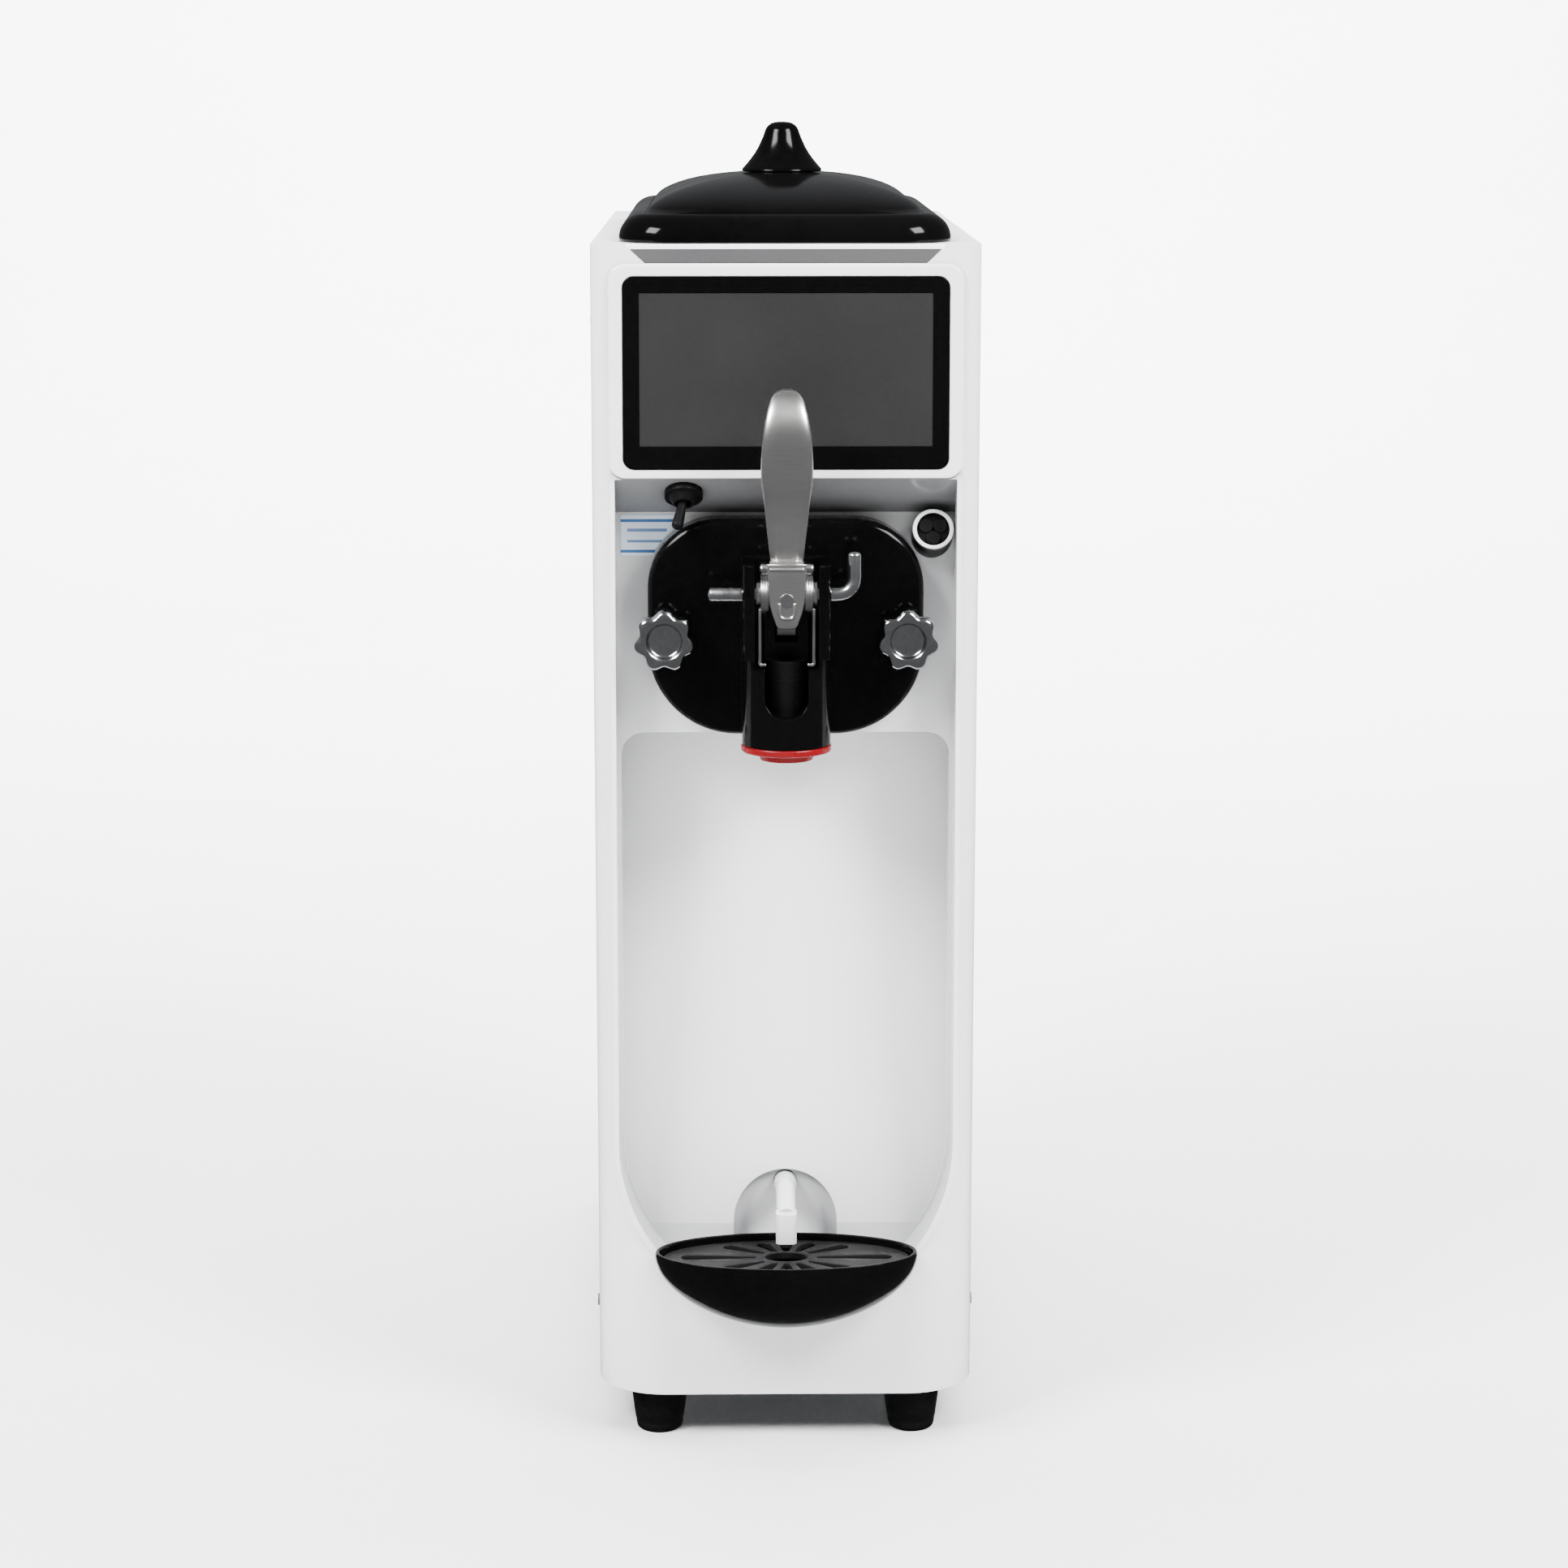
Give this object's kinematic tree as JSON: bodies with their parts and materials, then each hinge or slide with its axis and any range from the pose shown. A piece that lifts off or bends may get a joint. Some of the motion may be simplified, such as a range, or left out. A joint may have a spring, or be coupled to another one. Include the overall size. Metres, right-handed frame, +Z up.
{
  "type": "soft-serve ice cream maker",
  "caption": "Tall narrow countertop soft-serve machine: white case, black freezing door with draw handle, touch screen, lidded hopper and drip tray.",
  "frame": {"origin": "centre of the footprint, on the surface the feet stand on", "axes": "+X to the viewer's right, +Y to the back (the front faces -Y), +Z up"},
  "size_m": [0.2352, 0.554, 0.806],
  "materials": {
    "white_plastic": "glossy white moulding",
    "white_steel": "smooth white powder coat",
    "galvanised": "zinc-plated sheet",
    "rubber": "matte black rubber",
    "steel": "plain stainless fasteners",
    "polished_steel": "polished stainless rod",
    "chrome": "bright chrome",
    "brushed_steel": "brushed stainless",
    "black_plastic": "fine-grained black moulding",
    "gloss_black": "glossy black moulding",
    "black_glass": "black back-painted glass",
    "display": "dark anti-glare display film",
    "board_green": "green circuit board",
    "label": "printed film with plain bars",
    "silicone": "milky silicone",
    "red_plastic": "red moulding",
    "grey_plastic": "satin grey moulding",
    "copper": "drawn copper",
    "foam": "rigid insulating foam",
    "cast_alloy": "cast alloy",
    "black_paint": "satin black paint"
  },
  "bodies": {
    "body": {"front_panel": "white_plastic", "left_panel": "white_steel", "right_panel": "white_steel", "rear_panel": "white_steel", "top_cover": "white_steel", "base_frame": "galvanised", "feet": "rubber", "case_screws": "steel", "power_inlet": "black_plastic", "bulkhead": "galvanised", "mid_deck": "galvanised", "screen_bezel": "black_glass", "display_panel": "display", "control_board": "board_green", "switch_body": "black_plastic", "port_sleeve": "black_plastic", "port_ring": "white_plastic", "port_core": "black_plastic", "info_label": "label", "door_studs": "steel", "hopper": "brushed_steel", "hopper_gasket": "silicone", "freezing_cylinder": "brushed_steel", "evaporator_jacket": "copper", "cylinder_insulation": "foam", "shaft_seal": "rubber", "shaft_bearing": "steel", "gear_reducer": "cast_alloy", "drive_belt": "rubber", "drive_motor": "black_paint", "compressor": "black_paint", "condenser": "cast_alloy", "fan_shroud": "galvanised", "fan_motor": "black_paint", "refrigerant_lines": "copper", "drain_spout": "white_plastic"},
    "lid_body": {"lid": "gloss_black", "lid_knob": "gloss_black"},
    "air_tube_body": {"air_tube": "white_plastic"},
    "tray_body": {"drip_tray": "gloss_black", "tray_grille": "grey_plastic"},
    "door": {"freezing_door": "gloss_black", "door_gasket": "silicone", "return_spring": "steel"},
    "knob_left": {"star_knob_left": "chrome"},
    "knob_right": {"star_knob_right": "chrome"},
    "handle": {"draw_handle": "brushed_steel", "handle_clevis": "brushed_steel", "handle_fixings": "steel"},
    "piston": {"valve_piston": "black_plastic", "piston_rings": "silicone"},
    "pin": {"pivot_pin": "polished_steel"},
    "nozzle": {"nozzle_cap": "red_plastic"},
    "dasher": {"beater": "brushed_steel", "scraper_blades": "white_plastic", "drive_shaft": "steel"},
    "reducer_wheel": {"big_pulley": "cast_alloy"},
    "motor_wheel": {"small_pulley": "cast_alloy"},
    "fan": {"condenser_fan": "black_plastic"},
    "lever": {"switch_lever": "black_plastic"}
  },
  "joints": [
    {"name": "lid_lift", "type": "slide", "parent": "body", "child": "lid_body", "axis": [0, 0, 1], "range_m": [0, 0.12]},
    {"name": "air_tube_turn", "type": "hinge", "parent": "body", "child": "air_tube_body", "pos_m": [0, -0.128, 0.6], "axis": [0, 0, 1], "continuous": true},
    {"name": "tray_pull", "type": "slide", "parent": "body", "child": "tray_body", "axis": [0, -1, 0], "range_m": [0, 0.09]},
    {"name": "door_pull", "type": "slide", "parent": "body", "child": "door", "axis": [0, -1, 0], "range_m": [0, 0.06]},
    {"name": "knob_left_turn", "type": "hinge", "parent": "door", "child": "knob_left", "pos_m": [-0.0725, -0.223, 0.5025], "axis": [0, -1, 0], "continuous": true},
    {"name": "knob_right_turn", "type": "hinge", "parent": "door", "child": "knob_right", "pos_m": [0.0725, -0.223, 0.5025], "axis": [0, -1, 0], "continuous": true},
    {"name": "handle_pull", "type": "hinge", "parent": "door", "child": "handle", "pos_m": [0, -0.251, 0.533], "axis": [1, 0, 0], "range_deg": [0, 50], "stiffness_Nm_per_rad": 0.9, "springref_deg": -20.05},
    {"name": "piston_lift", "type": "slide", "parent": "door", "child": "piston", "axis": [0, 0, 1], "range_m": [0, 0.019]},
    {"name": "pin_pull", "type": "slide", "parent": "door", "child": "pin", "axis": [1, 0, 0], "range_m": [0, 0.08]},
    {"name": "nozzle_pull", "type": "slide", "parent": "door", "child": "nozzle", "axis": [0, 0, -1], "range_m": [0, 0.03]},
    {"name": "dasher_turn", "type": "hinge", "parent": "body", "child": "dasher", "pos_m": [0, -0.123, 0.507], "axis": [0, 1, 0], "continuous": true},
    {"name": "reducer_turn", "type": "hinge", "parent": "body", "child": "reducer_wheel", "pos_m": [0, 0.177, 0.507], "axis": [0, 1, 0], "continuous": true},
    {"name": "motor_turn", "type": "hinge", "parent": "body", "child": "motor_wheel", "pos_m": [0, 0.177, 0.33], "axis": [0, 1, 0], "continuous": true},
    {"name": "fan_turn", "type": "hinge", "parent": "body", "child": "fan", "pos_m": [0, 0.172, 0.14], "axis": [0, 1, 0], "continuous": true},
    {"name": "switch_tip", "type": "hinge", "parent": "body", "child": "lever", "pos_m": [-0.061, -0.21504, 0.5856], "axis": [0, -0.7936, 0.6084], "range_deg": [0, 28]}
  ],
  "couplings": [
    {"joint": "piston_lift", "follows": "handle_pull", "m_per_rad": 0.02166},
    {"joint": "reducer_turn", "follows": "dasher_turn", "ratio": 5},
    {"joint": "motor_turn", "follows": "dasher_turn", "ratio": 11.793}
  ]
}
